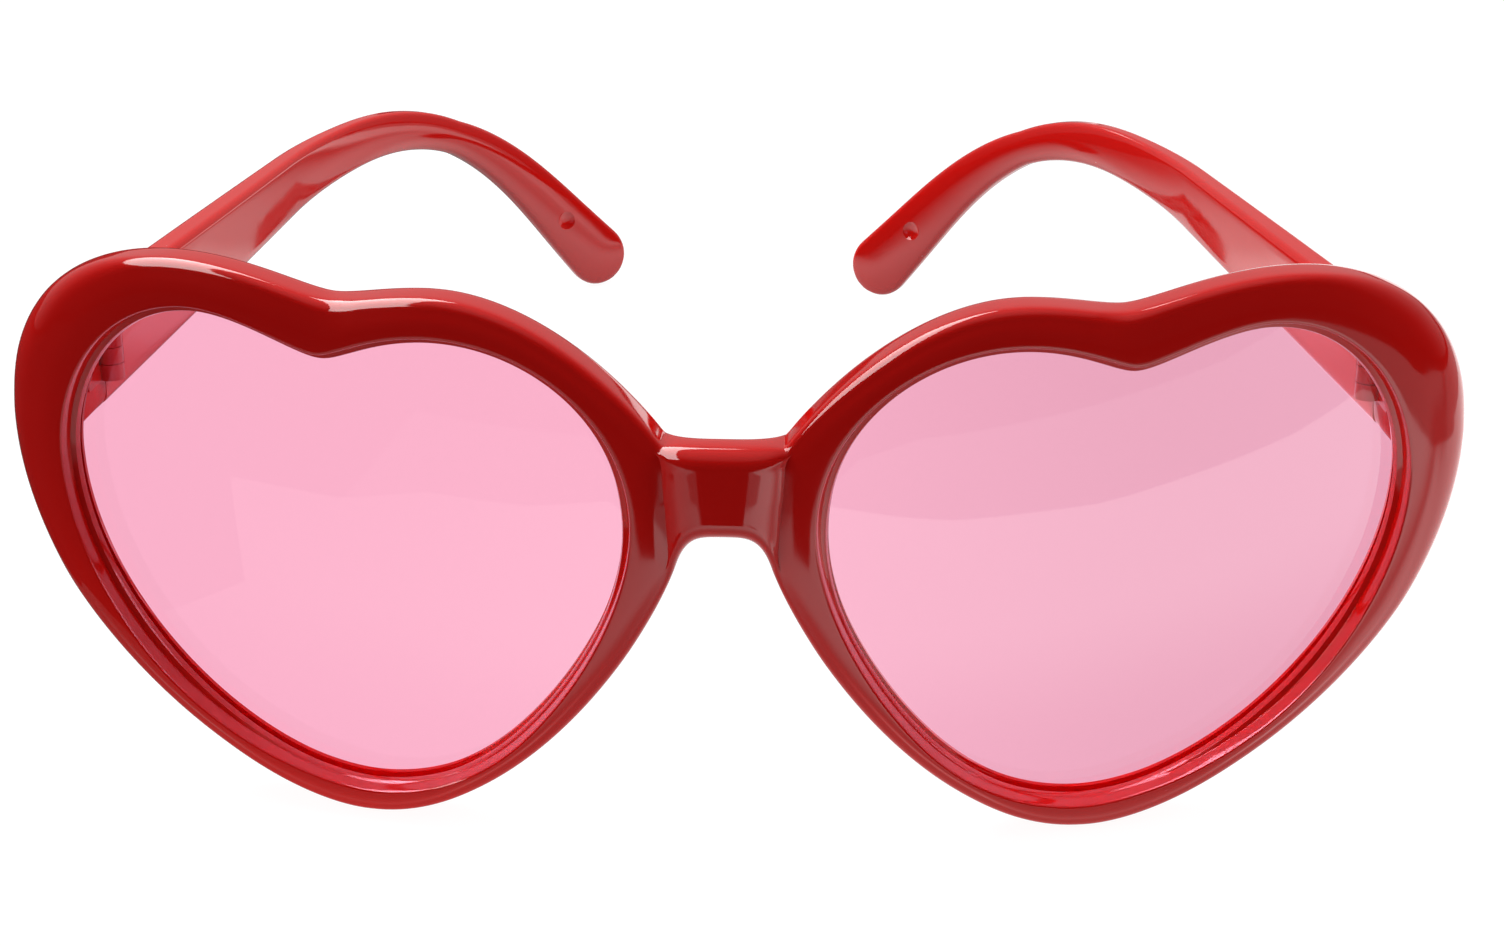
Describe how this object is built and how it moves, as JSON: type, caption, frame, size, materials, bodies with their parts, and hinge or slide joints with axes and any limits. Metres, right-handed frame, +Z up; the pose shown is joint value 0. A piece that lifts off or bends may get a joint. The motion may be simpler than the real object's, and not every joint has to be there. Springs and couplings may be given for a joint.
{
  "type": "heart shaped sunglasses",
  "caption": "Sunglasses with a moulded wraparound front of two heart shaped rims, tinted lenses in grooves, and curved temples that fold on screwed barrel hinges.",
  "frame": {"origin": "middle of the footprint on the surface that the open glasses stand on", "axes": "+X to the wearer's left along the width, +Y from the front back towards the tips of the temples, +Z up from the surface"},
  "size_m": [0.1474, 0.1438, 0.0563],
  "materials": {
    "frame_plastic": "polished opaque red, injection moulded",
    "temple_plastic": "polished opaque red, injection moulded",
    "lens_plastic": "clear pink tint, polished",
    "hinge_steel": "stamped steel, lacquered red like the frame",
    "screw_steel": "plain steel"
  },
  "bodies": {
    "front": {"front_frame": "frame_plastic", "lens_right": "lens_plastic", "lens_left": "lens_plastic", "hinge_front_leaf_right": "hinge_steel", "hinge_front_leaf_left": "hinge_steel", "hinge_screw_right": "screw_steel", "hinge_screw_left": "screw_steel"},
    "temple_arm_right": {"temple_right": "temple_plastic", "hinge_temple_leaf_right": "hinge_steel"},
    "temple_arm_left": {"temple_left": "temple_plastic", "hinge_temple_leaf_left": "hinge_steel"}
  },
  "joints": [
    {"name": "fold_right", "type": "hinge", "parent": "front", "child": "temple_arm_right", "pos_m": [-0.06445, -0.04586, 0.04073], "axis": [0, -0.1331, -0.9911], "range_deg": [-5, 73]},
    {"name": "fold_left", "type": "hinge", "parent": "front", "child": "temple_arm_left", "pos_m": [0.06445, -0.04586, 0.04073], "axis": [0, 0.1331, 0.9911], "range_deg": [-10, 46]}
  ]
}
